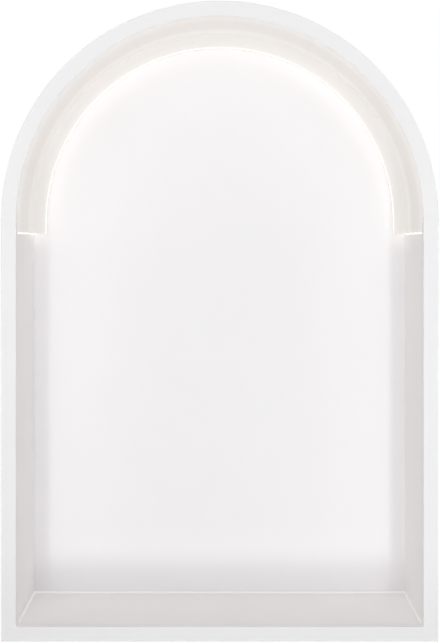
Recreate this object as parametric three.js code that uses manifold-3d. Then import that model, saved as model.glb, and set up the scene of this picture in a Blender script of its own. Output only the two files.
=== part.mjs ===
// Arched wall niche with a concealed light line: a recess of flat boards under a half-round arch,
// with a flat frame that overlaps the wall round its opening.
import * as THREE from "three";
import { mergeVertices } from "three/addons/utils/BufferGeometryUtils.js";
import Module from "manifold-3d";

const wasm = await Module();
wasm.setup();

// Driving dimensions, in millimetres.
const openingWidth = 600; // clear width between the side panels
const openingHeight = 900; // sill to the crown of the arch
const nicheDepth = 150; // front of the frame to the face of the back panel

const frameWidth = 22; // flat frame seen all round the opening
const frameThickness = 8; // how far the frame stands in front of the wall
const frameEasing = 1.5; // rounding of the frame's front arrises
const spigotLength = 3; // ledge behind the frame that the boards butt against
const spigotMargin = 0.5; // how far that ledge passes the outside of the boards

const boardThickness = 12; // side panels, sill and arch lining
const backThickness = 12; // back panel
const archLegDrop = 20; // straight legs of the arch lining below the springing

const baffleWidth = 22; // half ring seen inside the arch lining
const baffleThickness = 4;
const baffleEasing = 0.8; // rounding of the baffle's arrises
const lightGap = 12; // slot between the baffle and the back panel
const rebateDepth = 2; // step in the arch lining that the baffle is set into

const stripWidth = 8; // light strip, across the slot
const stripThickness = 1.6;

const sillBeadRadius = 2.5; // quarter-round bead in the corners of the sill
const seamBeadHeight = 1.8; // half-round bead over the seam under the arch lining
const seamBeadProjection = 0.9;

const glandShankRadius = 4; // the part of the gland inside the back panel
const glandShankClearance = 0.3;
const glandBoreRadius = 2.4; // hole for the lead
const glandFlangeRadius = 9;
const glandFlangeThickness = 2;
const glandNutWidth = 14; // across the flats
const glandNutHeight = 5;
const glandCapRadius = 6;
const glandCapHeight = 7;
const glandCapEasing = 2; // rounding of the cap round the lead

const gap = 0.3; // glue line between neighbouring pieces

const archFacets = 72; // of each half circle, an even number
const beadFacets = 6; // of a quarter-round or half-round bead, an even number
const glandFacets = 24; // round the gland
const easingFacets = 3; // of an eased edge

// Places worked out from the driving dimensions. Everything is drawn in elevation: x to the right, y up and
// z out of the wall, with z = 0 on the wall's face and y = 0 halfway across the frame's lower overhang.
const archRadius = openingWidth / 2;
const spigotWidth = boardThickness + spigotMargin;
const sillTop = (spigotWidth + frameWidth) / 2;
const springing = sillTop + openingHeight - archRadius;
const seamHeight = springing - archLegDrop;

const boardFront = -spigotLength - gap;
const backFace = frameThickness - nicheDepth;
const boardBack = backFace + gap;
const backRear = backFace - backThickness;

const baffleBack = backFace + lightGap;
const baffleFront = baffleBack + baffleThickness;
const baffleInner = archRadius - baffleWidth;
const baffleOuter = archRadius + rebateDepth - gap;
const rebateFront = baffleFront + gap;

const glandHeight = springing + (baffleInner + baffleOuter) / 2; // behind the middle of the baffle
const glandHoleRadius = glandShankRadius + glandShankClearance;

const paint = (color, roughness) => new THREE.MeshStandardMaterial({ color, roughness, metalness: 0 });
const finishes = {
  frame: paint(0xf0eff0, 0.55),
  board: paint(0xe8e5e4, 0.6),
  back: paint(0xf1f0ef, 0.6),
  arch: paint(0xebe6e0, 0.6),
  bead: paint(0xf4f2f0, 0.4),
  light: new THREE.MeshStandardMaterial({ color: 0xfff4de, emissive: 0xffe2b8, roughness: 0.5 }),
  gland: paint(0xd9d9d8, 0.5),
};

// A closed three.js geometry as a solid that can be joined and cut.
function solid(geometry) {
  const bare = geometry.clone();
  bare.deleteAttribute("normal");
  bare.deleteAttribute("uv");
  const merged = mergeVertices(bare, 1e-4);
  return new wasm.Manifold(
    new wasm.Mesh({
      numProp: 3,
      vertProperties: Float32Array.from(merged.attributes.position.array),
      triVerts: Uint32Array.from(merged.index.array),
    }),
  );
}

// A joined or cut solid as a three.js geometry again.
function geometryOf(body) {
  const { vertProperties, triVerts } = body.getMesh();
  return new THREE.BufferGeometry()
    .setAttribute("position", new THREE.BufferAttribute(vertProperties, 3))
    .setIndex(new THREE.BufferAttribute(triVerts, 1));
}

function piece(name, geometry, material) {
  const mesh = new THREE.Mesh(geometry, material);
  mesh.name = name;
  return mesh;
}

// The opening's outline grown by `offset` on every side.
function openingOutline(offset, Outline = THREE.Shape) {
  const radius = archRadius + offset;
  const outline = new Outline();
  outline.moveTo(-radius, sillTop - offset);
  outline.lineTo(radius, sillTop - offset);
  outline.lineTo(radius, springing);
  outline.absarc(0, springing, radius, 0, Math.PI, false);
  outline.lineTo(-radius, sillTop - offset);
  return outline;
}

// A ring of constant width round the opening.
function openingRing(width) {
  const ring = openingOutline(width);
  ring.holes.push(openingOutline(0, THREE.Path));
  return ring;
}

// Half ring between two radii, with straight legs down to the seam.
function archBand(inner, outer) {
  const band = new THREE.Shape();
  band.moveTo(outer, seamHeight);
  band.lineTo(outer, springing);
  band.absarc(0, springing, outer, 0, Math.PI, false);
  band.lineTo(-outer, seamHeight);
  band.lineTo(-inner, seamHeight);
  band.lineTo(-inner, springing);
  band.absarc(0, springing, inner, Math.PI, 0, true);
  band.lineTo(inner, seamHeight);
  band.lineTo(outer, seamHeight);
  return band;
}

// A shape drawn in elevation, made solid from one depth to another, its edges rounded by `easing`.
// An arc gets two facets for each curve segment.
function slab(shape, back, front, easing = 0, facets = archFacets) {
  const geometry = new THREE.ExtrudeGeometry(shape, {
    depth: front - back - 2 * easing,
    curveSegments: facets / 2,
    bevelEnabled: easing > 0,
    bevelThickness: easing,
    bevelSize: easing,
    bevelOffset: -easing,
    bevelSegments: easingFacets,
  });
  return geometry.translate(0, 0, back + easing);
}

// A block between two corners.
function block(left, right, bottom, top, back, front) {
  const geometry = new THREE.BoxGeometry(right - left, top - bottom, front - back);
  return geometry.translate((left + right) / 2, (bottom + top) / 2, (back + front) / 2);
}

// Flat frame with rounded front arrises, and the ledge behind it that the boards butt against.
function frontFrame() {
  const reach = archRadius + frameWidth + gap;
  const eased = solid(slab(openingRing(frameWidth), -2 * frameEasing, frameThickness, frameEasing));
  const inRoom = solid(block(-reach, reach, -reach, springing + reach, 0, frameThickness + gap));
  const ledge = solid(slab(openingRing(spigotWidth), -spigotLength, frameThickness / 2));
  return piece("front_frame", geometryOf(eased.intersect(inRoom).add(ledge)), finishes.frame);
}

// One side panel stands on the sill, up to the seam: -1 is the left, 1 the right.
function sidePanel(side) {
  const name = side < 0 ? "left_side_panel" : "right_side_panel";
  const half = boardThickness / 2;
  const board = block(-half, half, sillTop + gap, seamHeight - gap, boardBack, boardFront);
  const panel = piece(name, board, finishes.board);
  panel.position.x = side * (archRadius + half);
  return panel;
}

// The sill runs under both side panels.
function sillPanel() {
  const reach = archRadius + boardThickness;
  const board = block(-reach, reach, sillTop - boardThickness, sillTop, boardBack, boardFront);
  return piece("sill_panel", board, finishes.board);
}

// The back closes the recess behind every board. Its hole for the gland is hidden by the baffle.
function backPanel() {
  const board = solid(slab(openingOutline(boardThickness), backRear, backFace));
  const hole = new THREE.CylinderGeometry(glandHoleRadius, glandHoleRadius, 3 * backThickness, glandFacets);
  hole.rotateX(Math.PI / 2).translate(0, glandHeight, (backRear + backFace) / 2);
  return piece("back_panel", geometryOf(board.subtract(solid(hole))), finishes.back);
}

// Half-round soffit, stepped back behind the baffle for the baffle's edge and the light strip.
function archLining() {
  const outer = archRadius + boardThickness;
  const soffit = solid(slab(archBand(archRadius, outer), rebateFront, boardFront));
  const stepped = solid(slab(archBand(archRadius + rebateDepth, outer), boardBack, boardFront));
  return piece("arch_lining", geometryOf(soffit.add(stepped)), finishes.arch);
}

// Flat half ring that hides the light strip from the room.
function lightBaffle() {
  const ring = slab(archBand(baffleInner, baffleOuter), baffleBack, baffleFront, baffleEasing);
  return piece("light_baffle", ring, finishes.arch);
}

// Flexible strip on the soffit, centred in the slot behind the baffle.
function lightStrip() {
  const back = backFace + (lightGap - stripWidth) / 2;
  const strip = slab(archBand(baffleOuter - stripThickness, baffleOuter), back, back + stripWidth);
  return piece("led_strip", strip, finishes.light);
}

// Quarter-round bead along the sill's left, back and right edges, mitred where its arms meet.
function sillBead() {
  const arm = (start, length) => {
    const section = new THREE.Shape();
    section.absarc(0, 0, sillBeadRadius, start, start + Math.PI / 2, false);
    section.lineTo(0, 0);
    return slab(section, 0, length, 0, beadFacets);
  };
  const across = openingWidth - 2 * gap;
  const deep = boardFront - boardBack;
  const left = solid(arm(0, deep).translate(-across / 2, 0, 0));
  const right = solid(arm(Math.PI / 2, deep).translate(across / 2, 0, 0));
  const back = solid(arm(0, across).rotateY(-Math.PI / 2).translate(across / 2, 0, 0));
  const bead = piece("sill_joint_bead", geometryOf(left.add(back).add(right)), finishes.bead);
  bead.position.set(0, sillTop + gap, boardBack);
  return bead;
}

// Half-round bead over the seam between the arch lining and one side panel.
function seamBead(side) {
  const start = side < 0 ? -Math.PI / 2 : Math.PI / 2;
  const section = new THREE.Shape();
  section.absellipse(0, 0, seamBeadProjection, seamBeadHeight / 2, start, start + Math.PI, false);
  const name = side < 0 ? "left_seam_bead" : "right_seam_bead";
  const bead = piece(name, slab(section, rebateFront, boardFront, 0, beadFacets), finishes.bead);
  bead.position.set(side * (archRadius - gap), seamHeight - gap / 2, 0);
  return bead;
}

// Gland through the back panel: shank, flange, hexagon and rounded cap round one straight bore.
function cableGland() {
  const flangeFront = backRear - gap;
  const nutFront = flangeFront - glandFlangeThickness;
  const capFront = nutFront - glandNutHeight;
  const capBack = capFront - glandCapHeight;
  const outline = [
    [0, capBack],
    [glandCapRadius - glandCapEasing, capBack],
    [glandCapRadius - glandCapEasing / 3, capBack + glandCapEasing / 3],
    [glandCapRadius, capBack + glandCapEasing],
    [glandCapRadius, nutFront],
    [glandFlangeRadius, nutFront],
    [glandFlangeRadius, flangeFront],
    [glandShankRadius, flangeFront],
    [glandShankRadius, backFace],
    [0, backFace],
  ].map(([radius, depth]) => new THREE.Vector2(radius, depth));
  const body = new THREE.LatheGeometry(outline, glandFacets);
  const nutRadius = glandNutWidth / Math.sqrt(3);
  const nut = new THREE.CylinderGeometry(nutRadius, nutRadius, glandNutHeight, 6);
  nut.translate(0, (capFront + nutFront) / 2, 0);
  const bore = new THREE.CylinderGeometry(glandBoreRadius, glandBoreRadius, 3 * nicheDepth, glandFacets);
  const bored = solid(body).add(solid(nut)).subtract(solid(bore));
  const gland = piece("cable_gland", geometryOf(bored), finishes.gland);
  gland.rotation.x = Math.PI / 2;
  gland.position.y = glandHeight;
  return gland;
}

// The elevation stood upright: y becomes +Z, and the room is on the -Y side.
const niche = new THREE.Group();
niche.add(frontFrame(), sidePanel(-1), sidePanel(1), sillPanel(), backPanel());
niche.add(archLining(), lightBaffle(), lightStrip());
niche.add(sillBead(), seamBead(-1), seamBead(1), cableGland());
niche.rotation.x = Math.PI / 2;

export default niche;
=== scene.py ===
"""Looks of an arched wall niche with a concealed light line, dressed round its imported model.

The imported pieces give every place. Each sub-assembly is a class whose fields are its own sizes, in metres.
+X is to the right, +Y into the wall and +Z up, with the wall's face at y = 0.
"""

import logging
import math
from collections.abc import Sequence
from dataclasses import astuple, dataclass, fields
from enum import Enum

import bmesh
import bpy
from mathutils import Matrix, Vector


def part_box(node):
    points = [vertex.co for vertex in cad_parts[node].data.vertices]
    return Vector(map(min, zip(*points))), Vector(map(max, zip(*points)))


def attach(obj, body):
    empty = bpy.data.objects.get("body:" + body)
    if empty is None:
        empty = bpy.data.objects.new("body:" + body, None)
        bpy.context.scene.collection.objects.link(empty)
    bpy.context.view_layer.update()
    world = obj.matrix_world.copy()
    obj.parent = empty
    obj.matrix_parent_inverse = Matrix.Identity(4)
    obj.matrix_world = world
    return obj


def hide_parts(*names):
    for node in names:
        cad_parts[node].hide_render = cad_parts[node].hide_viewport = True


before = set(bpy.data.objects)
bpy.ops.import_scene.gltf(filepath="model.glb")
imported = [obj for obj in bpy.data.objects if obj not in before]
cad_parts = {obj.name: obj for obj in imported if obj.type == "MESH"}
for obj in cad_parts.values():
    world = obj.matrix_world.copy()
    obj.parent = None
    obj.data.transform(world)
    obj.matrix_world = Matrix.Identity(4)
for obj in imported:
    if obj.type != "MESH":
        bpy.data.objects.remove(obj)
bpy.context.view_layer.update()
BODY = "root"
LOG = logging.getLogger("niche")

ARCH_STEPS = 180
ROUND_STEPS = 6
EASED_STEPS = 3
FEW_FACETS = 8
RIB_SIDES = 8
DOME_STEPS = 8
SHARP_TURN = 30.0
ARRIS_TURN = 60.0
DIMPLE_DETAIL = 2.0
DIMPLE_ROUGHNESS = 0.45
CLOUD_DETAIL = 4.0
FACING = 0.99
FULL_WEIGHT = 100
RING_PAINTED_LIGHT_REACH = 0.048
RING_PAINTED_LIGHT_FULL = 0.022
MIX_SHARE, MIX_FIRST, MIX_SECOND, MIX_RESULT = 0, 6, 7, 2
INTO_WALL = Vector((0.0, 1.0, 0.0))
UPWARD = Vector((0.0, 0.0, 1.0))

Colour = tuple[float, float, float]
Point = tuple[float, float]
Paints = dict[str, bpy.types.Material]
Inputs = dict[str | int, object]
Mesh = bmesh.types.BMesh
Piece = bpy.types.Object
Socket = bpy.types.NodeSocket
Sockets = bpy.types.bpy_prop_collection
Tree = bpy.types.NodeTree


class Side(Enum):
    """Which half of the niche a piece stands on, as the sign of its x."""

    LEFT = -1
    RIGHT = 1


class Coat(Enum):
    """Which of a board's two finishes a face takes, as its place among the material slots."""

    ROOM = 0
    REVERSE = 1


def inner_radius(node: str, springing: float) -> float:
    """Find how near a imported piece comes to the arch's centre.

    Args:
        node: Name of a piece that follows the arch.
        springing: Height of the arch's centre.

    Returns:
        The smallest distance, in metres.
    """
    corners = (vertex.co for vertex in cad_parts[node].data.vertices)
    return min(math.hypot(co.x, co.z - springing) for co in corners if co.z >= springing)


@dataclass(frozen=True)
class Survey:
    """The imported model's main lines, in metres."""

    arch_radius: float
    springing: float
    seam: float
    sill_top: float
    frame_front: float
    frame_width: float
    spigot_back: float
    board_front: float
    board_back: float
    board_thickness: float
    back_face: float
    back_rear: float

    @classmethod
    def read(cls) -> "Survey":
        """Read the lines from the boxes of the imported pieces.

        Returns:
            The survey of the niche.
        """
        frame_low, frame_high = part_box("front_frame")
        panel_low, panel_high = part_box("right_side_panel")
        lining_low, lining_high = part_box("arch_lining")
        back_low, back_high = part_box("back_panel")
        return cls(
            arch_radius=panel_low.x,
            springing=frame_high.z - frame_high.x,
            seam=lining_low.z,
            sill_top=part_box("sill_panel")[1].z,
            frame_front=frame_low.y,
            frame_width=frame_high.x - panel_low.x,
            spigot_back=frame_high.y,
            board_front=lining_low.y,
            board_back=lining_high.y,
            board_thickness=panel_high.x - panel_low.x,
            back_face=back_low.y,
            back_rear=back_high.y,
        )

    @property
    def gap(self) -> float:
        """Width of a glue line between two pieces."""
        return self.board_front - self.spigot_back

    @property
    def leg(self) -> float:
        """Length of one straight leg below the springing."""
        return self.springing - self.seam

    @property
    def arch_length(self) -> float:
        """Length along the soffit, both legs included."""
        return 2 * self.leg + math.pi * self.arch_radius


class Graph:
    """A node tree under construction."""

    def __init__(self, tree: Tree) -> None:
        """Start with an empty tree."""
        self.tree = tree
        tree.nodes.clear()

    def feed(self, socket: Socket, value: object) -> None:
        """Set an input.

        Args:
            socket: The input.
            value: A constant, or the output that it is joined to.
        """
        if isinstance(value, Socket):
            self.tree.links.new(value, socket)
        else:
            socket.default_value = value

    def add(self, kind: str, inputs: Inputs | None = None, **settings: object) -> bpy.types.Node:
        """Add a node.

        Args:
            kind: Blender's type name of the node.
            inputs: Constants or outputs for its inputs, by name or place.
            settings: Properties to set on the node.

        Returns:
            The node.
        """
        node = self.tree.nodes.new(kind)
        for key, value in settings.items():
            setattr(node, key, value)
        for key, value in (inputs or {}).items():
            self.feed(node.inputs[key], value)
        return node

    def math(self, operation: str, *values: object) -> Socket:
        """Add one step of arithmetic.

        Args:
            operation: Blender's name of the operation.
            values: Its operands, constants or outputs.

        Returns:
            The result's output.
        """
        return self.add("ShaderNodeMath", dict(enumerate(values)), operation=operation).outputs[0]

    def blend(self, share: Socket, first: Colour, second: Colour) -> Socket:
        """Add a mix of two colours, with the second in full where the share is 1."""
        inputs = {MIX_SHARE: share, MIX_FIRST: (*first, 1.0), MIX_SECOND: (*second, 1.0)}
        return self.add("ShaderNodeMix", inputs, data_type="RGBA").outputs[MIX_RESULT]

    @classmethod
    def group(
        cls, name: str, kind: str, inputs: dict[str, str], outputs: dict[str, str]
    ) -> tuple["Graph", Sockets]:
        """Start a node group.

        Args:
            name: The group's name.
            kind: Shader or Geometry.
            inputs: Kinds of its inputs by name.
            outputs: Kinds of its outputs by name.

        Returns:
            The group under construction, and what its inputs give.
        """
        graph = cls(bpy.data.node_groups.new(name, kind + "NodeTree"))
        for way, sockets in (("INPUT", inputs), ("OUTPUT", outputs)):
            for socket, sort in sockets.items():
                graph.tree.interface.new_socket(socket, in_out=way, socket_type="NodeSocket" + sort)
        return graph, graph.add("NodeGroupInput").outputs


STIPPLE_INPUTS = ("Dimples per metre", "Clouds per metre", "Seed")
STIPPLE_RESULTS = ("Height", "Unevenness")


def roller_stipple() -> Tree:
    """Build the shader group for the dimples that a short-pile roller leaves in paint.

    Returns:
        A group that gives the dimples' height and the coat's slow unevenness, both about 0.5.
    """
    inputs, results = (dict.fromkeys(names, "Float") for names in (STIPPLE_INPUTS, STIPPLE_RESULTS))
    graph, given = Graph.group("roller_stipple", "Shader", inputs, results)
    where = graph.add("ShaderNodeTexCoord").outputs["Object"]
    dimples = {"Scale": given["Dimples per metre"], "Detail": DIMPLE_DETAIL, "Roughness": DIMPLE_ROUGHNESS}
    clouds = {"Scale": given["Clouds per metre"], "Detail": CLOUD_DETAIL}
    patterns = {}
    for result, noise in zip(STIPPLE_RESULTS, (dimples, clouds)):
        noise |= {"Vector": where, "W": given["Seed"]}
        patterns[result] = graph.add("ShaderNodeTexNoise", noise, noise_dimensions="4D").outputs[0]
    graph.add("NodeGroupOutput", patterns)
    return graph.tree


@dataclass(frozen=True)
class Mask:
    """Where a material glows with painted light. The fields, in metres or as shares, are the inputs of its
    shader group.
    """

    def shape(self, graph: Graph, given: Sockets, place: Sockets) -> Socket:
        """Work out the mask inside its group.

        Args:
            graph: The group under construction.
            given: What the group's inputs give.
            place: The three coordinates of the spot.

        Returns:
            The output that is 1 where the glow is full.
        """
        raise NotImplementedError

    def colour(self, graph: Graph, glow: Colour) -> Socket:
        """Add the masked glow to a material.

        Args:
            graph: The material's tree.
            glow: The colour where the mask is 1.

        Returns:
            The output with the colour.
        """
        labels = [field.name.replace("_", " ").capitalize() for field in fields(self)]
        sockets = dict.fromkeys(labels, "Float")
        inside, given = Graph.group(type(self).__name__, "Shader", sockets, {"Mask": "Float"})
        where = inside.add("ShaderNodeTexCoord").outputs["Object"]
        place = inside.add("ShaderNodeSeparateXYZ", {0: where}).outputs
        inside.add("NodeGroupOutput", {"Mask": self.shape(inside, given, place)})
        sizes = dict(zip(labels, astuple(self)))
        mask = graph.add("ShaderNodeGroup", sizes, node_tree=inside.tree).outputs["Mask"]
        return graph.blend(mask, (0.0, 0.0, 0.0), glow)


@dataclass(frozen=True)
class EdgeBleed(Mask):
    """Painted glow on the half ring, strongest near its edges, with an even share over the rest that evens
    out the ring's shading; it stands in for light through a translucent ring.
    """

    springing_height: float
    inner_radius: float
    outer_radius: float
    fade_length: float = 0.00015
    fade_power: float = 1.2
    even_share: float = 0.23

    def shape(self, graph: Graph, given: Sockets, place: Sockets) -> Socket:
        """Fade from 1 at both edges towards the even share away from them.

        Args:
            graph: The group under construction.
            given: What its inputs give.
            place: The coordinates of the spot.

        Returns:
            The mask.
        """
        rise = graph.math("MAXIMUM", graph.math("SUBTRACT", place["Z"], given["Springing height"]), 0.0)
        squares = [graph.math("MULTIPLY", length, length) for length in (place["X"], rise)]
        radius = graph.math("SQRT", graph.math("ADD", *squares))
        from_inner = graph.math("SUBTRACT", radius, given["Inner radius"])
        from_outer = graph.math("SUBTRACT", given["Outer radius"], radius)
        depth = graph.math("MAXIMUM", graph.math("MINIMUM", from_inner, from_outer), 0.0)
        steps = graph.math("ADD", graph.math("DIVIDE", depth, given["Fade length"]), 1.0)
        faded = graph.math("POWER", steps, graph.math("MULTIPLY", given["Fade power"], -1.0))
        spread = graph.math("SUBTRACT", 1.0, given["Even share"])
        return graph.math("ADD", graph.math("MULTIPLY", faded, spread), given["Even share"])


@dataclass(frozen=True)
class SoffitLight(Mask):
    """Painted light on the satin soffit: a glow beside the ring, and a fainter painted reflection beside the
    frame.
    """

    ring_start: float
    ring_full: float
    frame_start: float = 0.038
    frame_full: float = 0.010
    frame_share: float = 0.8

    def shape(self, graph: Graph, given: Sockets, place: Sockets) -> Socket:
        """Fade from 1 beside the ring, and from the frame's share beside the frame, to 0.

        Args:
            graph: The group under construction.
            given: What its inputs give.
            place: The coordinates of the spot.

        Returns:
            The mask.
        """
        ends = []
        for end in ("Ring", "Frame"):
            span = {"Value": place["Y"], "From Min": given[end + " start"]}
            span["From Max"] = given[end + " full"]
            fade = graph.add("ShaderNodeMapRange", span, interpolation_type="SMOOTHSTEP")
            ends.append(fade.outputs[0])
        return graph.math("MAXIMUM", ends[0], graph.math("MULTIPLY", ends[1], given["Frame share"]))


@dataclass(frozen=True)
class Finish:
    """How a surface looks: its colour where the coat is full and thin, its gloss, its dimples and its glow,
    which is painted light on every finish but the strip's phosphor.
    """

    name: str
    colour: Colour
    thin_colour: Colour
    roughness: float
    thin_roughness: float
    dimple_depth: float
    dimples_per_metre: float
    clouds_per_metre: float
    seed: float
    metallic: float = 0.0
    glow: float = 0.0
    glow_colour: Colour = (1.0, 1.0, 1.0)

    def material(self, stipple: Tree, mask: Mask | None = None) -> bpy.types.Material:
        """Build the material.

        Args:
            stipple: The shared group that makes dimples and unevenness.
            mask: Where the glow is, if it isn't even.

        Returns:
            The material, named after the finish.
        """
        material = bpy.data.materials.new(self.name)
        material.use_nodes = True
        graph = Graph(material.node_tree)
        pattern = dict(zip(STIPPLE_INPUTS, (self.dimples_per_metre, self.clouds_per_metre, self.seed)))
        glow = mask.colour(graph, self.glow_colour) if mask else (*self.glow_colour, 1.0)
        texture = graph.add("ShaderNodeGroup", pattern, node_tree=stipple).outputs
        uneven = texture["Unevenness"]
        gloss = {"Value": uneven, "To Min": self.thin_roughness, "To Max": self.roughness}
        dimples = {"Height": texture["Height"], "Distance": self.dimple_depth, "Strength": 1.0}
        shader = graph.add(
            "ShaderNodeBsdfPrincipled",
            {
                "Base Color": graph.blend(uneven, self.thin_colour, self.colour),
                "Roughness": graph.add("ShaderNodeMapRange", gloss).outputs[0],
                "Normal": graph.add("ShaderNodeBump", dimples).outputs[0],
                "Metallic": self.metallic,
                "Emission Color": glow,
                "Emission Strength": self.glow,
            },
        )
        graph.add("ShaderNodeOutputMaterial", {"Surface": shader.outputs[0]})
        return material


FINISHES = (
    # The frame, boards and back are one white paint; the boards' colour is far lighter than the frame's and
    # the back's to lift the shade inside the recess, painted light.
    Finish("frame_eggshell", (0.725, 0.722, 0.732), (0.710, 0.707, 0.717), 0.42, 0.5, 4e-5, 700, 7, 1),
    Finish("board_matt", (0.955, 0.932, 0.928), (0.943, 0.920, 0.916), 0.55, 0.62, 5e-5, 600, 6, 2),
    Finish("back_matt", (0.733, 0.724, 0.734), (0.718, 0.709, 0.720), 0.55, 0.62, 5e-5, 600, 5, 3),
    # Painted light: the soffit glows beside the ring and the frame, and its colour is far lighter than the
    # frame's to lift the shade in the arch.
    Finish(
        "arch_satin", (0.953, 0.923, 0.894), (0.943, 0.913, 0.884), 0.12, 0.16, 1.0e-5, 600, 6, 4,
        glow=1.0, glow_colour=(0.052, 0.048, 0.042),
    ),
    # Painted light: the ring's face glows, and its colour is dark to make room for the glow.
    Finish(
        "baffle_opal", (0.506, 0.483, 0.467), (0.496, 0.473, 0.457), 0.4, 0.46, 1.5e-5, 600, 6, 14,
        glow=1.0, glow_colour=(1.10, 1.09, 1.07),
    ),
    # Painted light: the ring's cut ends glow warm, for light spilling out past the strip's ends.
    Finish(
        "opal_cut_end", (0.88, 0.87, 0.85), (0.86, 0.85, 0.83), 0.3, 0.36, 1.5e-5, 600, 6, 15,
        glow=2.7, glow_colour=(1.0, 0.94, 0.82),
    ),
    Finish("reverse_primer", (0.74, 0.735, 0.72), (0.70, 0.69, 0.67), 0.7, 0.85, 9e-5, 900, 9, 5),
    # Painted highlight: a dark bead given a glow, so that every run of it reads pale.
    Finish(
        "joint_sealant", (0.42, 0.415, 0.41), (0.40, 0.395, 0.39), 0.3, 0.38, 3e-5, 250, 12, 6,
        glow=0.385, glow_colour=(1.0, 0.985, 0.97),
    ),
    # Painted light: the seam beads glow warm, a painted leak of light along the seams.
    Finish(
        "seam_sealant", (0.93, 0.92, 0.90), (0.91, 0.90, 0.88), 0.3, 0.38, 3e-5, 250, 12, 7,
        glow=0.6, glow_colour=(1.0, 0.95, 0.86),
    ),
    Finish("circuit_white", (0.86, 0.86, 0.84), (0.82, 0.82, 0.80), 0.35, 0.45, 1e-5, 1500, 30, 8),
    Finish(
        "light_phosphor", (0.95, 0.80, 0.42), (0.93, 0.76, 0.38), 0.4, 0.5, 2e-5, 1200, 30, 9,
        glow=5.2, glow_colour=(1.0, 0.995, 0.94),
    ),
    Finish("tinned_copper", (0.86, 0.72, 0.52), (0.80, 0.62, 0.42), 0.28, 0.4, 1e-5, 2500, 60, 10, 1.0),
    Finish("gland_nylon", (0.62, 0.62, 0.61), (0.58, 0.58, 0.57), 0.45, 0.55, 4e-5, 1400, 40, 11),
    Finish("seal_rubber", (0.05, 0.05, 0.05), (0.04, 0.04, 0.04), 0.6, 0.7, 3e-5, 1100, 40, 12),
    Finish("screw_zinc", (0.72, 0.73, 0.74), (0.60, 0.60, 0.58), 0.3, 0.45, 1e-5, 1800, 50, 13, 1.0),
)


def mix_paints(survey: Survey) -> Paints:
    """Build every finish as a material.

    Args:
        survey: The niche's lines, which place the painted glow of two finishes.

    Returns:
        The materials by name.
    """
    stipple = roller_stipple()
    low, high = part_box("light_baffle")
    shoulder = low.y - survey.gap
    # Both masks place painted glow: on the ring's face, and on the soffit beside the ring and the frame.
    masks = {
        "baffle_opal": EdgeBleed(survey.springing, inner_radius("light_baffle", survey.springing), high.x),
        "arch_satin": SoffitLight(shoulder - RING_PAINTED_LIGHT_REACH, shoulder - RING_PAINTED_LIGHT_FULL),
    }
    return {finish.name: finish.material(stipple, masks.get(finish.name)) for finish in FINISHES}


def arc(centre: Point, radius: float, start: float, end: float, steps: int = ROUND_STEPS) -> list[Point]:
    """Lay points along an arc.

    Args:
        centre: The arc's centre.
        radius: Its radius.
        start: First angle, in degrees.
        end: Last angle, in degrees.
        steps: Number of chords.

    Returns:
        The points, both ends included.
    """
    angles = (math.radians(start + (end - start) * step / steps) for step in range(steps + 1))
    return [(centre[0] + radius * math.cos(a), centre[1] + radius * math.sin(a)) for a in angles]


def half_turn(steps: int) -> list[float]:
    """Give evenly spaced angles from 0 to half a turn, in radians."""
    return [math.pi * step / steps for step in range(steps + 1)]


@dataclass(frozen=True)
class Station:
    """A place on a path, and where a section's width runs there, longer than 1 in a mitre."""

    place: Vector
    across: Vector
    mitre: bool = False


@dataclass
class Section:
    """A closed outline of points (across, along the third direction).

    The sharp ones stay hard corners. The side after each reverse one has the reverse finish.
    """

    points: list[Point]
    sharp: Sequence[int] = ()
    reverse: Sequence[int] = ()


def sweep(
    mesh: Mesh, stations: Sequence[Station], section: Section, depth: Vector, closed: bool = False
) -> None:
    """Add the solid that a section leaves along a path.

    Args:
        mesh: The mesh to add it to.
        stations: The path.
        section: The outline, its first number across the path and its second along `depth`.
        depth: The third direction.
        closed: Whether the last station joins the first.
    """
    reverse = mesh.faces.layers.bool.get("reverse") or mesh.faces.layers.bool.new("reverse")
    rings = [
        [mesh.verts.new(spot.place + spot.across * u + depth * v) for u, v in section.points]
        for spot in stations
    ]
    size = len(section.points)
    count = len(stations)
    for i in range(count if closed else count - 1):
        here, there = rings[i], rings[(i + 1) % count]
        for k in range(size):
            follow = (k + 1) % size
            face = mesh.faces.new((here[k], there[k], there[follow], here[follow]))
            face.smooth = True
            face[reverse] = k in section.reverse
            face.material_index = (Coat.REVERSE if k in section.reverse else Coat.ROOM).value
    if not closed:
        for ring in (rings[0], rings[-1]):
            cap = mesh.faces.new(ring)
            cap[reverse] = True
            cap.material_index = Coat.REVERSE.value
            for edge in cap.edges:
                edge.smooth = False
    mesh.edges.ensure_lookup_table()
    for i, spot in enumerate(stations):
        for k in section.sharp:
            edge = mesh.edges.get((rings[i][k], rings[(i + 1) % count][k]))
            if edge:
                edge.smooth = False
        if spot.mitre:
            for k in range(size):
                mesh.edges.get((rings[i][k], rings[i][(k + 1) % size])).smooth = False
    bmesh.ops.recalc_face_normals(mesh, faces=mesh.faces[:])


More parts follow.
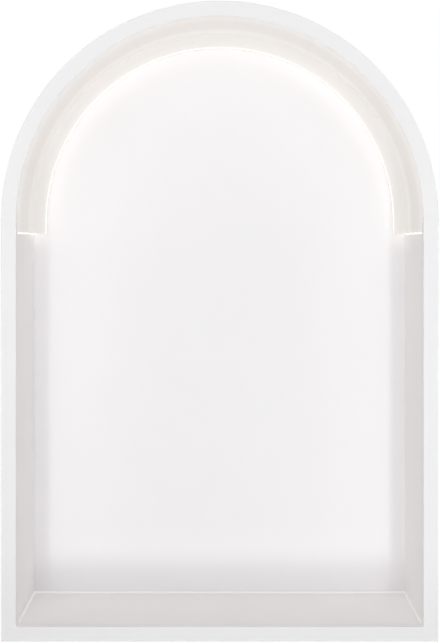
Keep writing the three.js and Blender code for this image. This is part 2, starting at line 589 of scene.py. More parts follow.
def turn(
    mesh: Mesh, profile: Sequence[Point], centre: Vector, steps: int, closed: bool = False
) -> None:
    """Add a turned solid whose axis runs along +Y.

    Args:
        mesh: The mesh to add it to.
        profile: Points (radius, y), from axis to axis, or all round a ring if closed.
        centre: A point on the axis, whose y counts from 0.
        steps: Number of facets round the axis.
        closed: Whether the last point joins the first.
    """
    rings = []
    for radius, y in profile:
        if radius == 0:
            rings.append([mesh.verts.new(centre + Vector((0, y, 0)))])
            continue
        angles = (2 * math.pi * step / steps for step in range(steps))
        rings.append([
            mesh.verts.new(centre + Vector((radius * math.cos(a), y, radius * math.sin(a)))) for a in angles
        ])
    pairs = list(zip(rings, rings[1:])) + ([(rings[-1], rings[0])] if closed else [])
    for near, far in pairs:
        for step in range(steps):
            corners = [near[step % len(near)], near[(step + 1) % len(near)]]
            corners += [far[(step + 1) % len(far)], far[step % len(far)]]
            face = mesh.faces.new(list(dict.fromkeys(corners)))
            face.smooth = steps > FEW_FACETS
    bmesh.ops.recalc_face_normals(mesh, faces=mesh.faces[:])


def crease(mesh: Mesh, degrees: float = SHARP_TURN) -> None:
    """Make every edge sharp that turns enough.

    Args:
        mesh: The mesh.
        degrees: The turn from which an edge is sharp.
    """
    for edge in mesh.edges:
        if edge.is_manifold and edge.calc_face_angle() > math.radians(degrees):
            edge.smooth = False


def place_piece(name: str, mesh: Mesh, *materials: bpy.types.Material) -> Piece:
    """Turn a mesh under construction into an object at the origin.

    Args:
        name: The piece's name.
        mesh: Its mesh, which is freed.
        materials: Its material slots in order.

    Returns:
        The object, linked into the scene.
    """
    data = bpy.data.meshes.new(name)
    mesh.to_mesh(data)
    mesh.free()
    for material in materials:
        data.materials.append(material)
    piece = bpy.data.objects.new(name, data)
    bpy.context.scene.collection.objects.link(piece)
    return piece


def settle(piece: Piece) -> Piece:
    """Replace a piece's mesh by what its modifiers make of it, and take them off.

    Args:
        piece: A mesh object.

    Returns:
        The same object.
    """
    bpy.context.view_layer.update()
    graph = bpy.context.evaluated_depsgraph_get()
    evaluated = piece.evaluated_get(graph)
    result = bpy.data.meshes.new_from_object(evaluated, preserve_all_data_layers=True, depsgraph=graph)
    old = piece.data
    piece.modifiers.clear()
    piece.data = result
    result.name = piece.name
    bpy.data.meshes.remove(old)
    return piece


def even_shading(piece: Piece) -> Piece:
    """Keep flat faces flat beside their rounded edges.

    Args:
        piece: A mesh object.

    Returns:
        The same object, its modifiers applied.
    """
    weighted = piece.modifiers.new("face_weighted_normals", "WEIGHTED_NORMAL")
    weighted.mode = "FACE_AREA"
    weighted.weight = FULL_WEIGHT
    weighted.keep_sharp = True
    return settle(piece)


def fit_out(piece: Piece, slot: str, *nodes: str) -> None:
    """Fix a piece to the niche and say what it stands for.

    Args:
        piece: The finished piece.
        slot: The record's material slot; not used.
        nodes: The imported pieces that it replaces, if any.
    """
    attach(piece, BODY)
    if nodes:
        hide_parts(*nodes)
    piece.data.calc_loop_triangles()
    size = len(piece.data.loop_triangles)
    LOG.info("%s: %d triangles, in place of %s", piece.name, size, nodes or "nothing")


def opening_path(survey: Survey) -> list[Station]:
    """Follow the opening's edge once round, from its lower left corner by the right.

    Args:
        survey: The niche's lines.

    Returns:
        The stations of a closed path whose width runs outward.
    """
    radius = survey.arch_radius
    corners = [
        Station(Vector((side.value * radius, 0, survey.sill_top)), Vector((side.value, 0, -1)), mitre=True)
        for side in Side
    ]
    arch = []
    for angle in half_turn(ARCH_STEPS):
        out = Vector((math.cos(angle), 0, math.sin(angle)))
        arch.append(Station(Vector((0, 0, survey.springing)) + out * radius, out))
    return corners + arch


SHAPE = {"Geometry": "Geometry"}


class Trees:
    """The geometry trees, built once, and the arch's sizes, which are inputs of most of them."""

    def __init__(self, survey: Survey) -> None:
        """Build the trees.

        Args:
            survey: The niche's lines.
        """
        self.arch = {
            "Arch radius": survey.arch_radius,
            "Leg length": survey.leg,
            "Springing height": survey.springing,
        }
        self.bending = self.follow_arch()
        self.member = self.arch_member()
        self.row = self.row_on_arch()
        self.ring = self.ring_of_copies()

    def follow_arch(self) -> Tree:
        """Build the group that bends what lies straight along +X round an arch with straight legs.

        Returns:
            The group. What was height above the X axis becomes distance out from the arch's line.
        """
        inputs = {**SHAPE, **dict.fromkeys(self.arch, "Float")}
        graph, given = Graph.group("follow_arch", "Geometry", inputs, SHAPE)
        position = graph.add("GeometryNodeInputPosition").outputs[0]
        straight = graph.add("ShaderNodeSeparateXYZ", {0: position}).outputs
        curved = graph.math("MULTIPLY", given["Arch radius"], math.pi)
        along = graph.math("SUBTRACT", straight["X"], given["Leg length"])
        in_arc = graph.math("MINIMUM", graph.math("MAXIMUM", along, 0.0), curved)
        angle = graph.math("SUBTRACT", math.pi, graph.math("DIVIDE", in_arc, given["Arch radius"]))
        first_leg = graph.math("MAXIMUM", graph.math("MULTIPLY", along, -1.0), 0.0)
        last_leg = graph.math("MAXIMUM", graph.math("SUBTRACT", along, curved), 0.0)
        below = graph.math("ADD", first_leg, last_leg)
        reach = graph.math("ADD", given["Arch radius"], straight["Z"])
        x = graph.math("MULTIPLY", reach, graph.math("COSINE", angle))
        rise = graph.math("MULTIPLY", reach, graph.math("SINE", angle))
        z = graph.math("SUBTRACT", graph.math("ADD", given["Springing height"], rise), below)
        bent = graph.add("ShaderNodeCombineXYZ", {"X": x, "Y": straight["Y"], "Z": z}).outputs[0]
        moved = graph.add("GeometryNodeSetPosition", {"Geometry": given["Geometry"], "Position": bent})
        graph.add("NodeGroupOutput", {"Geometry": moved.outputs[0]})
        return graph.tree

    def bend(self, graph: Graph, given: Sockets, straight: Socket) -> Socket:
        """Place the bending group in a tree.

        Args:
            graph: The tree.
            given: What its inputs give, with the arch's sizes.
            straight: The geometry to bend.

        Returns:
            The bent geometry.
        """
        inputs = {"Geometry": straight, **{name: given[name] for name in self.arch}}
        return graph.add("GeometryNodeGroup", inputs, node_tree=self.bending).outputs[0]

    @staticmethod
    def close(graph: Graph, geometry: Socket, room: Socket, reverse: Socket | None = None) -> Tree:
        """End a tree with real geometry and its materials.

        Args:
            graph: The tree.
            geometry: The geometry so far.
            room: The material of every face.
            reverse: The material of the faces marked as reverse, if any are.

        Returns:
            The finished tree.
        """
        real = graph.add("GeometryNodeRealizeInstances", {"Geometry": geometry}).outputs[0]
        painted = graph.add("GeometryNodeSetMaterial", {"Geometry": real, "Material": room}).outputs[0]
        if reverse is not None:
            marked = graph.add("GeometryNodeInputNamedAttribute", {"Name": "reverse"}, data_type="BOOLEAN")
            primed = {"Geometry": painted, "Selection": marked.outputs[0], "Material": reverse}
            painted = graph.add("GeometryNodeSetMaterial", primed).outputs[0]
        graph.add("NodeGroupOutput", {"Geometry": painted})
        return graph.tree

    def arch_member(self) -> Tree:
        """Build the tree that bends a straight member round the arch and paints its two sides.

        Returns:
            The tree.
        """
        finishes = dict.fromkeys(("Room finish", "Reverse finish"), "Material")
        inputs = {**SHAPE, **dict.fromkeys(self.arch, "Float"), **finishes}
        graph, given = Graph.group("arch_member", "Geometry", inputs, SHAPE)
        bent = self.bend(graph, given, given["Geometry"])
        return self.close(graph, bent, given["Room finish"], given["Reverse finish"])

    def row_on_arch(self) -> Tree:
        """Build the tree that sets copies of a small piece in a row and bends it round the arch.

        Returns:
            The tree.
        """
        sizes = dict.fromkeys((*self.arch, "Row length", "Pitch"), "Float")
        inputs = {**SHAPE, **sizes, "Finish": "Material"}
        graph, given = Graph.group("row_on_arch", "Geometry", inputs, SHAPE)
        length, pitch = given["Row length"], given["Pitch"]
        count = graph.math("FLOOR", graph.math("DIVIDE", length, pitch))
        spare = graph.math("SUBTRACT", length, graph.math("MULTIPLY", count, pitch))
        start = graph.add("ShaderNodeCombineXYZ", {"X": graph.math("MULTIPLY", spare, 0.5)}).outputs[0]
        step = graph.add("ShaderNodeCombineXYZ", {"X": pitch}).outputs[0]
        row = {"Count": graph.math("ADD", count, 1.0), "Start Location": start, "Offset": step}
        line = graph.add("GeometryNodeMeshLine", row).outputs[0]
        spread = {"Points": line, "Instance": given["Geometry"]}
        copies = graph.add("GeometryNodeInstanceOnPoints", spread).outputs[0]
        real = graph.add("GeometryNodeRealizeInstances", {"Geometry": copies}).outputs[0]
        return self.close(graph, self.bend(graph, given, real), given["Finish"])

    def ring_of_copies(self) -> Tree:
        """Build the tree that sets copies of a small piece round an axis along +Y.

        Returns:
            The tree.
        """
        inputs = {**SHAPE, "Copies": "Int", "Height": "Float", "Finish": "Material"}
        graph, given = Graph.group("ring_of_copies", "Geometry", inputs, SHAPE)
        centre = graph.add("ShaderNodeCombineXYZ", {"Z": given["Height"]}).outputs[0]
        heap = {"Count": given["Copies"], "Start Location": centre, "Offset": (0.0, 0.0, 0.0)}
        line = graph.add("GeometryNodeMeshLine", heap).outputs[0]
        share = graph.math("DIVIDE", graph.add("GeometryNodeInputIndex").outputs[0], given["Copies"])
        angle = graph.math("MULTIPLY", share, 2 * math.pi)
        spin = graph.add("ShaderNodeCombineXYZ", {"Y": angle}).outputs[0]
        spread = {"Points": line, "Instance": given["Geometry"], "Rotation": spin}
        copies = graph.add("GeometryNodeInstanceOnPoints", spread).outputs[0]
        return self.close(graph, copies, given["Finish"])


def run_tree(piece: Piece, tree: Tree, values: Inputs) -> Piece:
    """Run a geometry tree on a piece and keep the result as its plain mesh.

    Args:
        piece: The object whose mesh the tree takes.
        tree: The tree.
        values: Its inputs by name.

    Returns:
        The same object.
    """
    modifier = piece.modifiers.new(tree.name, "NODES")
    modifier.node_group = tree
    for item in tree.interface.items_tree:
        if item.in_out == "INPUT" and item.name in values:
            modifier[item.identifier] = values[item.name]
    return settle(piece)


@dataclass
class SubAssembly:
    """What every sub-assembly is made with."""

    survey: Survey
    paints: Paints
    trees: Trees

    def arch_piece(self, name: str, section: Section, room: str, reverse: str) -> Piece:
        """Make a member straight along +X and bend it round the arch with its legs.

        Args:
            name: The piece's name.
            section: Its outline, the width outward from the soffit's line.
            room: The finish on the room's side.
            reverse: The finish of its reverse sides and its ends.

        Returns:
            The piece.
        """
        s = self.survey
        curve = [s.leg + s.arch_radius * angle for angle in half_turn(ARCH_STEPS)]
        path = [Station(Vector((x, 0, 0)), UPWARD) for x in (0.0, *curve, s.arch_length)]
        mesh = bmesh.new()
        sweep(mesh, path, section, INTO_WALL)
        finishes = {"Room finish": self.paints[room], "Reverse finish": self.paints[reverse]}
        return run_tree(place_piece(name, mesh), self.trees.member, {**self.trees.arch, **finishes})


@dataclass
class FrontFrame(SubAssembly):
    """The flat frame round the opening, in one piece with the ledge behind it."""

    easing: float = 0.0005
    spigot_margin: float = 0.0005
    tolerance: float = 0.1

    def section(self) -> Section:
        """Draw the frame's section.

        Returns:
            The section, its width outward from the opening's edge.
        """
        s, e = self.survey, self.easing
        width = s.frame_width
        spigot = s.board_thickness + self.spigot_margin
        face = arc((e, s.frame_front + e), e, 180, 270)
        face += arc((width - e, s.frame_front + e), e, 270, 360)
        behind = [(width, 0), (spigot, 0), (spigot, s.spigot_back), (0, s.spigot_back)]
        corners = range(len(face), len(face) + len(behind))
        return Section([*face, *behind], sharp=corners, reverse=corners[:-1])

    def carry_on(self, mesh: Mesh, first: int) -> None:
        """Paint the frame's inner return like the boards that it meets, in their paint lightened as painted
        light.

        Args:
            mesh: The swept frame.
            first: Place of the side boards' paint among the materials, with the arch's paint after it.
        """
        s = self.survey
        near = self.easing * self.tolerance
        for face in mesh.faces:
            centre = face.calc_center_median()
            rise = max(centre.z - s.springing, 0.0)
            at_edge = math.hypot(centre.x, rise) < s.arch_radius + near
            at_sill = centre.z < s.sill_top + near and abs(centre.x) < s.arch_radius / 2
            is_return = centre.y > s.frame_front + self.easing and face.normal.y < FACING
            if is_return and (at_edge or at_sill):
                # The return takes the boards' lightened paint, or the soffit's painted light above the seam.
                face.material_index = first + int(centre.z > s.seam)

    def build(self) -> None:
        """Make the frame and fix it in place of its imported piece."""
        mesh = bmesh.new()
        sweep(mesh, opening_path(self.survey), self.section(), INTO_WALL, closed=True)
        mesh.normal_update()
        names = ("frame_eggshell", "reverse_primer", "board_matt", "arch_satin")
        self.carry_on(mesh, names.index("board_matt"))
        piece = place_piece("frame_moulding", mesh, *(self.paints[name] for name in names))
        fit_out(even_shading(piece), "frame_paint", "front_frame")


@dataclass
class Casing(SubAssembly):
    """The flat boards: two side panels, the sill and the back."""

    hole_radius: float
    hole_steps: int = 32
    easing: float = 0.0004
    easing_steps: int = 2

    def ease(self, mesh: Mesh, towards: Vector) -> None:
        """Round the arrises of a board a little and smooth it.

        Args:
            mesh: The board.
            towards: The direction that its painted face looks, whose edges stay crisp where boards butt.
        """
        mesh.normal_update()
        sharp = [
            edge for edge in mesh.edges
            if edge.calc_face_angle() > math.radians(SHARP_TURN)
            and all(face.normal.dot(towards) < FACING for face in edge.link_faces)
        ]
        bmesh.ops.bevel(
            mesh, geom=sharp, offset=self.easing, segments=self.easing_steps, profile=0.5, affect="EDGES"
        )
        for face in mesh.faces:
            face.smooth = True
        crease(mesh, ARRIS_TURN)

    def paint(self, mesh: Mesh, towards: Vector) -> None:
        """Give the room's finish to one face, and the primer to the others.

        Args:
            mesh: The board.
            towards: The direction that the painted face looks.
        """
        mesh.normal_update()
        for face in mesh.faces:
            seen = face.normal.dot(towards) > FACING
            face.material_index = (Coat.ROOM if seen else Coat.REVERSE).value

    def board(self, node: str, towards: Vector) -> Piece:
        """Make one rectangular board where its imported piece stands, its rear closed on the back board.

        Args:
            node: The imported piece.
            towards: The direction that its painted face looks.

        Returns:
            The board.
        """
        low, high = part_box(node)
        high.y = self.survey.back_face
        mesh = bmesh.new()
        bmesh.ops.create_cube(mesh, size=1.0)
        middle, size = (low + high) / 2, high - low
        for vertex in mesh.verts:
            vertex.co = middle + Vector(a * b for a, b in zip(vertex.co, size))
        bmesh.ops.recalc_face_normals(mesh, faces=mesh.faces[:])
        self.ease(mesh, towards)
        self.paint(mesh, towards)
        # The room's face takes the boards' paint, lightened to stand in for light in the recess.
        board = place_piece(node + "_board", mesh, self.paints["board_matt"], self.paints["reverse_primer"])
        return even_shading(board)

    def back(self) -> Piece:
        """Make the arched back board with its hole for the gland.

        Returns:
            The board.
        """
        s = self.survey
        low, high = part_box("back_panel")
        outline = [Vector((low.x, low.y, low.z)), Vector((high.x, low.y, low.z))]
        for angle in half_turn(ARCH_STEPS):
            rise = high.x * math.sin(angle)
            outline.append(Vector((high.x * math.cos(angle), low.y, s.springing + rise)))
        mesh = bmesh.new()
        front = mesh.faces.new([mesh.verts.new(co) for co in outline])
        grown = bmesh.ops.extrude_face_region(mesh, geom=[front])["geom"]
        rear = [item for item in grown if isinstance(item, bmesh.types.BMVert)]
        bmesh.ops.translate(mesh, verts=rear, vec=INTO_WALL * (high.y - low.y))
        bmesh.ops.recalc_face_normals(mesh, faces=mesh.faces[:])
        self.ease(mesh, -INTO_WALL)
        self.paint(mesh, -INTO_WALL)
        board = place_piece("back_board", mesh, self.paints["back_matt"], self.paints["reverse_primer"])
        drill = bmesh.new()
        gland_low, gland_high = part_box("cable_gland")
        axis = Vector((0, 0, (gland_low.z + gland_high.z) / 2))
        depth = high.y - low.y
        bit = [(0, low.y - depth), (self.hole_radius, low.y - depth)]
        bit += [(self.hole_radius, high.y + depth), (0, high.y + depth)]
        turn(drill, bit, axis, self.hole_steps)
        cutter = place_piece("drill", drill, self.paints["reverse_primer"])
        cut = board.modifiers.new("gland_hole", "BOOLEAN")
        cut.object = cutter
        cut.solver = "EXACT"
        settle(board)
        bpy.data.objects.remove(cutter)
        return even_shading(board)

    def build(self) -> None:
        """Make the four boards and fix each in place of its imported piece."""
        looks = {f"{side.name.lower()}_side_panel": Vector((-side.value, 0, 0)) for side in Side}
        for node, towards in {**looks, "sill_panel": UPWARD}.items():
            fit_out(self.board(node, towards), "board_paint", node)
        fit_out(self.back(), "back_paint", "back_panel")


@dataclass
class ArchInsert(SubAssembly):
    """The half-round lining and the flat half ring set into its rebate."""

    easing: float = 0.0008

    def lining_section(self) -> Section:
        """Draw the lining's section.

        Returns:
            The section, its width outward from the soffit.
        """
        s = self.survey
        low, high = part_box("light_baffle")
        rebate = high.x + s.gap - s.arch_radius
        shoulder = low.y - s.gap
        depth = s.board_thickness
        points = [(0, s.board_front), (0, shoulder), (rebate, shoulder), (rebate, s.board_back)]
        points += [(depth, s.board_back), (depth, s.board_front)]
        return Section(points, sharp=range(len(points)), reverse=range(3, len(points)))

    def baffle_section(self) -> Section:
        """Draw the baffle's section.

        Returns:
            The section, its width outward from the soffit.
        """
        s, e = self.survey, self.easing
        low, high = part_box("light_baffle")
        inner = inner_radius("light_baffle", s.springing) - s.arch_radius
        outer = high.x - s.arch_radius
        points = [*arc((inner + e, low.y + e), e, 180, 270), (outer, low.y), (outer, high.y)]
        points += arc((inner + e, high.y - e), e, 90, 180)[:-1]
        corner = ROUND_STEPS + 1
        return Section(points, sharp=(corner, corner + 1))

    def build(self) -> None:
        """Make both members straight, bend them round the arch and fix them in place."""
        members = {
            "arch_lining": (self.lining_section(), "arch_paint", "arch_satin", "reverse_primer"),
            # The ring's face and cut ends carry painted glow, and the lining's soffit carries painted light.
            "light_baffle": (self.baffle_section(), "ring_opal", "baffle_opal", "opal_cut_end"),
        }
        for node, (section, slot, room, reverse) in members.items():
            piece = self.arch_piece(node + "_member", section, room, reverse)
            fit_out(even_shading(piece), slot, node)


@dataclass
class LightLine(SubAssembly):
    """The strip on the soffit behind the baffle: circuit, phosphor line and the pads at its cuts."""

    circuit_thickness: float = 0.00035
    line_width: float = 0.0044
    cut_pitch: float = 0.05
    pad_length: float = 0.0026
    pad_width: float = 0.0011
    pad_thickness: float = 0.00008
    pad_inset: float = 0.0010

    def sections(self) -> dict[str, Section]:
        """Draw the circuit and the phosphor line.

        Returns:
            Their sections, the widths outward from the soffit.
        """
        low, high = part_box("led_strip")
        outer = high.x - self.survey.arch_radius
        inner = inner_radius("led_strip", self.survey.springing) - self.survey.arch_radius
        face = outer - self.circuit_thickness
        middle = (low.y + high.y) / 2
        circuit = [(face, low.y), (outer, low.y), (outer, high.y), (face, high.y)]
        half = self.line_width / 2
        swell = face - inner
        dome = [(face - swell * math.sin(a), middle - half * math.cos(a)) for a in half_turn(DOME_STEPS)]
        return {
            "circuit": Section(circuit, sharp=range(len(circuit))),
            "phosphor": Section(dome, sharp=(0, DOME_STEPS)),
        }

    def pads(self) -> Piece:
        """Make the rows of solder pads along both edges of the circuit.

        Returns:
            The piece with all pads.
        """
        low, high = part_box("led_strip")
        face = high.x - self.survey.arch_radius - self.circuit_thickness
        thick, half, reach = self.pad_thickness, self.pad_width / 2, self.pad_length / 2
        ends = [Station(Vector((x, 0, 0)), UPWARD) for x in (-reach, reach)]
        mesh = bmesh.new()
        for y in (low.y + self.pad_inset, high.y - self.pad_inset):
            outline = [(face - thick, y - half), (face + thick, y - half)]
            outline += [(face + thick, y + half), (face - thick, y + half)]
            sweep(mesh, ends, Section(outline, sharp=range(len(outline))), INTO_WALL)
        finish = self.paints["tinned_copper"]
        piece = place_piece("strip_solder_pads", mesh, finish)
        row = {"Row length": self.survey.arch_length - self.pad_length, "Pitch": self.cut_pitch}
        return run_tree(piece, self.trees.row, {**self.trees.arch, **row, "Finish": finish})

    def build(self) -> None:
        """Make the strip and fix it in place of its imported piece."""
        finishes = {"circuit": "circuit_white", "phosphor": "light_phosphor"}
        for name, section in self.sections().items():
            piece = self.arch_piece("strip_" + name, section, finishes[name], finishes[name])
            fit_out(piece, "light_strip", "led_strip")
        fit_out(self.pads(), "light_strip")


@dataclass
class Joints(SubAssembly):
    """The sealant beads: one round the sill, one over each seam under the arch lining."""

    def sill_path(self) -> list[Station]:
        """Follow the sill's left, back and right edges.

        Returns:
            The stations, their width running towards the middle.
        """
        low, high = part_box("sill_joint_bead")
        left, right = Vector((low.x, low.y, low.z)), Vector((high.x, low.y, low.z))
        back = INTO_WALL * (high.y - low.y)
        return [
            Station(left, Vector((1, 0, 0))),
            Station(left + back, Vector((1, -1, 0)), mitre=True),
            Station(right + back, Vector((-1, -1, 0)), mitre=True),
            Station(right, Vector((-1, 0, 0))),
        ]

    def build(self) -> None:
        """Make the sill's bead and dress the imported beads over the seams."""
        low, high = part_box("sill_joint_bead")
        radius = high.z - low.z
        section = Section([(0, 0), *arc((0, 0), radius, 0, 90)], sharp=(0, 1, ROUND_STEPS + 1))
        mesh = bmesh.new()
        sweep(mesh, self.sill_path(), section, UPWARD)
        for face in mesh.faces:
            face.material_index = Coat.ROOM.value
        # The sill's bead glows: a painted highlight.
        piece = place_piece("sill_sealant", mesh, self.paints["joint_sealant"])
        fit_out(piece, "joint_bead", "sill_joint_bead")
        for side in Side:
            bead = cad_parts[f"{side.name.lower()}_seam_bead"]
            bead.data.materials.clear()
            # The seam beads take the glowing finish: painted light along the seams.
            bead.data.materials.append(self.paints["seam_sealant"])
            LOG.info("%s: the packed piece, dressed", bead.name)


@dataclass
class Gland(SubAssembly):
    """The cable gland at the crown: turned body, hexagon, gripping ribs and a rubber seal."""

    shank_radius: float = 0.004
    bore_radius: float = 0.0024
    flange_radius: float = 0.009
    flange_thickness: float = 0.002
    nut_width: float = 0.014
    nut_height: float = 0.005
    nut_sides: int = 6
    cap_radius: float = 0.006
    easing: float = 0.0006
    cap_easing: float = 0.002
    rib_count: int = 20
    rib_radius: float = 0.00035
    seal_radius: float = 0.0014
    seal_length: float = 0.0034
    seal_dish: float = 0.0006
    steps: int = 64

    def build(self) -> None:
        """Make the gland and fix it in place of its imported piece."""
        low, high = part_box("cable_gland")
        centre = Vector((0, 0, (low.z + high.z) / 2))
        back_face = self.survey.back_face
        flange_front = self.survey.back_rear + self.survey.gap
        nut_front = flange_front + self.flange_thickness
        cap_front = nut_front + self.nut_height
        e, c = self.easing, self.cap_easing
        profile = [(self.bore_radius, back_face), (self.shank_radius, back_face)]
        profile += [(self.shank_radius, flange_front), (self.flange_radius, flange_front)]
        profile += arc((self.flange_radius - e, nut_front - e), e, 0, 90, EASED_STEPS)
        profile += [(self.cap_radius, nut_front)]
        profile += arc((self.cap_radius - c, high.y - c), c, 0, 90)
        profile += [(self.bore_radius, high.y)]
        body = bmesh.new()
        turn(body, profile, centre, self.steps, closed=True)
        crease(body)
        nylon = self.paints["gland_nylon"]
        piece = place_piece("gland_body", body, nylon)
        fit_out(even_shading(piece), "gland_plastic", "cable_gland")
        radius = self.nut_width / math.sqrt(3)
        inner = self.cap_radius - e
        nut = bmesh.new()
        flats = [(inner, nut_front), (radius - e, nut_front), (radius, nut_front + e)]
        flats += [(radius, cap_front - e), (radius - e, cap_front), (inner, cap_front)]
        turn(nut, flats, centre, self.nut_sides, closed=True)
        fit_out(place_piece("gland_hexagon", nut, nylon), "gland_plastic")
        self.ribs(cap_front, high.y, centre)
        seal = bmesh.new()
        inner, outer = self.seal_radius, self.bore_radius + e / 2
        rear = high.y - e
        ring = [(inner, rear - self.seal_length), (outer, rear - self.seal_length), (outer, rear)]
        ring += [(inner + self.seal_dish / 2, rear), (inner, rear - self.seal_dish)]
        turn(seal, ring, centre, self.steps, closed=True)
        crease(seal)
        fit_out(place_piece("gland_seal", seal, self.paints["seal_rubber"]), "gland_plastic")

    def ribs(self, start: float, end: float, centre: Vector) -> None:
        """Set gripping ribs round the cap between two depths.

        Args:
            start: Where the cap leaves the hexagon.
            end: The cap's rear.
            centre: A point on the gland's axis.
        """
        rib = bmesh.new()
        top = end - self.cap_easing
        last = 360 * (RIB_SIDES - 1) / RIB_SIDES
        section = Section(arc((0, 0), self.rib_radius, 0, last, RIB_SIDES - 1))
        ends = [Station(Vector((0, y, self.cap_radius)), Vector((1, 0, 0))) for y in (start, top)]
        sweep(rib, ends, section, UPWARD)
        finish = self.paints["gland_nylon"]
        piece = place_piece("gland_ribs", rib, finish)
        inputs = {"Copies": self.rib_count, "Height": centre.z, "Finish": finish}
        fit_out(run_tree(piece, self.trees.ring, inputs), "gland_plastic")


@dataclass
class Screws(SubAssembly):
    """Low-headed screws that hold the back board to the boards in front of it."""

    head_radius: float = 0.0034
    head_height: float = 0.0008
    recess_radius: float = 0.0014
    recess_depth: float = 0.0006
    easing: float = 0.0004
    pitch: float = 0.15
    steps: int = 20

    def head(self) -> Mesh:
        """Make one low head with a round recess, on the back board's rear at the origin.

        Returns:
            Its mesh.
        """
        rear = self.survey.back_rear
        top = rear + self.head_height
        mesh = bmesh.new()
        profile = [(0, rear - self.easing), (self.head_radius, rear - self.easing)]
        middle = (self.head_radius - self.easing, top - self.easing)
        profile += arc(middle, self.easing, 0, 90, EASED_STEPS)
        profile += [(self.recess_radius, top), (self.recess_radius, top - self.recess_depth)]
        profile += [(0, top - self.recess_depth)]
        turn(mesh, profile, Vector((0, 0, self.survey.board_thickness / 2)), self.steps)
        crease(mesh)
        return mesh

    def build(self) -> None:
        """Set the row of heads up both sides and round the arch."""
        s = self.survey
        legs = s.springing - s.sill_top
        finish = self.paints["screw_zinc"]
        around = {
            **self.trees.arch,
            "Leg length": legs,
            "Row length": 2 * legs + math.pi * s.arch_radius,
            "Pitch": self.pitch,
            "Finish": finish,
        }
        row = run_tree(place_piece("back_screws", self.head(), finish), self.trees.row, around)
        fit_out(row, "back_paint")


class Fitting(Enum):
    """The two kinds of lamp, as Blender names them."""

    SOFTBOX = "AREA"
    SPOT = "SPOT"


@dataclass(frozen=True)
class Lamp:
    """A lamp that looks at the niche, and its face's width and height.

    A spot has a round beam of some radius where it meets the wall, with a soft share of it at the rim.
    """

    name: str
    fitting: Fitting
    place: tuple[float, float, float]
    face: Point
    watts: float
    beam_centre: Point = (0.0, 0.0)
    beam_radius: float = 0.0
    soft_rim: float = 0.0

    def hang(self, middle: Vector) -> None:
        """Hang the lamp.

        Args:
            middle: What a softbox looks at.
        """
        data = bpy.data.lights.new(self.name, self.fitting.value)
        data.energy = self.watts
        target = middle
        if self.fitting is Fitting.SOFTBOX:
            data.shape = "ELLIPSE"
            data.size, data.size_y = self.face
        else:
            data.shadow_soft_size = self.face[0] / 2
            data.spot_size = 2 * math.atan(self.beam_radius / abs(self.place[1]))
            data.spot_blend = self.soft_rim
            target = Vector((self.beam_centre[0], 0, self.beam_centre[1]))
        item = bpy.data.objects.new(self.name, data)
        item.location = self.place
        item.rotation_euler = (target - item.location).to_track_quat("-Z", "Y").to_euler()
        item.visible_camera = False
        bpy.context.scene.collection.objects.link(item)


BOX, SPOT = Fitting.SOFTBOX, Fitting.SPOT
LAMPS = (
    Lamp("left_strip", BOX, (-0.94, -3.95, 0.55), (0.24, 1.0), 3.5),
    Lamp("left_softbox", BOX, (-0.94, -3.95, 0.55), (0.6, 1.4), 4.1),
    Lamp("right_strip", BOX, (0.94, -3.95, 0.55), (0.24, 1.0), 9.7),
    Lamp("low_left_strip", BOX, (-0.8, -3.15, -1.08), (0.24, 0.9), 12.0),
    Lamp("low_right_strip", BOX, (0.8, -3.15, -1.08), (0.24, 0.9), 12.1),
    Lamp("wide_softbox", BOX, (0.0, -3.0, 0.3), (2.5, 2.5), 33.7),
    Lamp("near_right_softbox", BOX, (1.0, -1.7, 1.3), (0.8, 0.8), 3.45),
    Lamp("near_left_softbox", BOX, (-1.0, -1.7, 1.3), (0.8, 0.8), 4.1),
    Lamp("top_softbox", BOX, (0.0, -1.5, 2.2), (1.2, 1.2), 3.05),
    Lamp("wide_spot", SPOT, (0.0, -4.0, 0.6), (0.4, 0.4), 40.2, (0.50, 1.15), 1.40, 0.50),
    Lamp("high_spot", SPOT, (0.0, -4.0, 0.6), (0.1, 0.1), 35.0, (0.10, 2.1), 2.226, 0.10),
    Lamp("rear_left_spot", SPOT, (-2.2, 2.4, 1.3), (0.8, 0.8), 130.0, (0.0, 0.47), 0.6, 0.5),
    Lamp("rear_right_spot", SPOT, (2.2, 2.4, 1.3), (0.8, 0.8), 240.0, (0.0, 0.47), 0.6, 0.5),
)


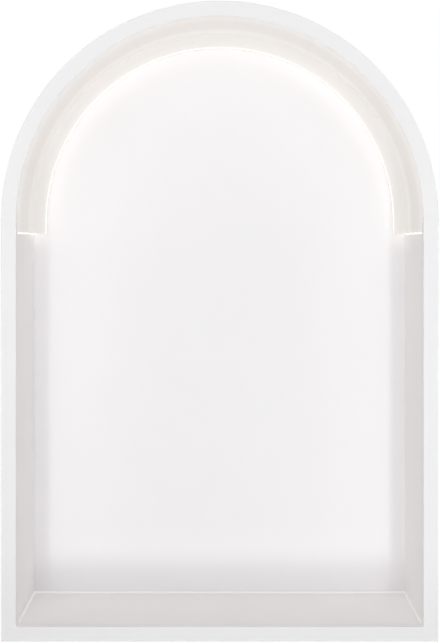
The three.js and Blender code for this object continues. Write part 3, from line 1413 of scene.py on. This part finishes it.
@dataclass
class Studio:
    """Floor, soft lamps, sky and camera."""

    survey: Survey
    lamps: tuple[Lamp, ...] = LAMPS
    sky: float = 0.284
    floor_drop: float = 1.8
    floor_size: float = 60.0
    floor_glow: float = 0.80
    aim_height: float = 0.47
    camera_distance: float = 1.535
    frame_pixels: tuple[int, int] = (440, 643)
    pixel_size: float = 0.0014724
    opening_bottom: float = 626.8
    horizon: float = 243.0
    centre_line: float = 219.75
    sensor: float = 36.0
    bounces: int = 16
    diffuse_bounces: int = 12

    def floor(self) -> None:
        """Lay the pale floor."""
        half = self.floor_size / 2
        mesh = bmesh.new()
        corners = [(-half, -half), (half, -half), (half, half), (-half, half)]
        mesh.faces.new([mesh.verts.new((x, y, -self.floor_drop)) for x, y in corners])
        finish = Finish("floor_pale", (0.80, 0.80, 0.80), (0.79, 0.79, 0.79), 0.6, 0.7, 1e-4, 120, 2, 20)
        material = finish.material(bpy.data.node_groups["roller_stipple"])
        tree = material.node_tree
        shader = next(node for node in tree.nodes if node.type == "BSDF_PRINCIPLED")
        seen = tree.nodes.new("ShaderNodeLightPath")
        share = tree.nodes.new("ShaderNodeMapRange")
        share.inputs["To Max"].default_value = self.floor_glow
        tree.links.new(seen.outputs["Is Camera Ray"], share.inputs["Value"])
        tree.links.new(share.outputs[0], shader.inputs["Emission Strength"])
        place_piece("studio_floor", mesh, material)

    def light(self) -> None:
        """Hang the lamps, aimed at the middle of the recess, and set an even sky that shows white."""
        for lamp in self.lamps:
            lamp.hang(Vector((0, self.survey.back_face, self.aim_height)))
        world = bpy.data.worlds.new("studio_sky")
        world.use_nodes = True
        graph = Graph(world.node_tree)
        seen = graph.add("ShaderNodeLightPath").outputs["Is Camera Ray"]
        strength = graph.add("ShaderNodeMapRange", {"Value": seen, "To Min": self.sky, "To Max": 1.0})
        sky = graph.add("ShaderNodeBackground", {"Color": (1, 1, 1, 1), "Strength": strength.outputs[0]})
        graph.add("ShaderNodeOutputWorld", {"Surface": sky.outputs[0]})
        bpy.context.scene.world = world

    def camera(self) -> None:
        """Set the level camera straight in front, with the photograph's horizon and frame."""
        width, height = self.frame_pixels
        rise = (self.opening_bottom - self.horizon) * self.pixel_size
        data = bpy.data.cameras.new("camera")
        data.sensor_width = self.sensor
        data.lens = self.sensor * self.camera_distance / (height * self.pixel_size)
        data.shift_x = (width / 2 - self.centre_line) / height
        data.shift_y = (self.horizon - height / 2) / height
        camera = bpy.data.objects.new("camera", data)
        camera.location = (0, self.survey.frame_front - self.camera_distance, self.survey.sill_top + rise)
        camera.rotation_euler = (math.pi / 2, 0, 0)
        bpy.context.scene.collection.objects.link(camera)
        bpy.context.scene.camera = camera

    def build(self) -> None:
        """Make the studio and set how light is traced and shown."""
        self.floor()
        self.light()
        self.camera()
        scene = bpy.context.scene
        scene.view_settings.view_transform = "Standard"
        scene.cycles.max_bounces = self.bounces
        scene.cycles.diffuse_bounces = self.diffuse_bounces
        scene.cycles.use_denoising = True


def main() -> None:
    """Build the niche, then the studio round it."""
    logging.basicConfig(level=logging.INFO, format="%(name)s: %(message)s")
    survey = Survey.read()
    given = (survey, mix_paints(survey), Trees(survey))
    gland = Gland(*given)
    casing = Casing(*given, gland.shank_radius + survey.gap)
    parts = (FrontFrame(*given), casing, ArchInsert(*given), LightLine(*given), Joints(*given))
    for part in (*parts, gland, Screws(*given)):
        part.build()
    Studio(survey).build()


if __name__ == "__main__":
    main()
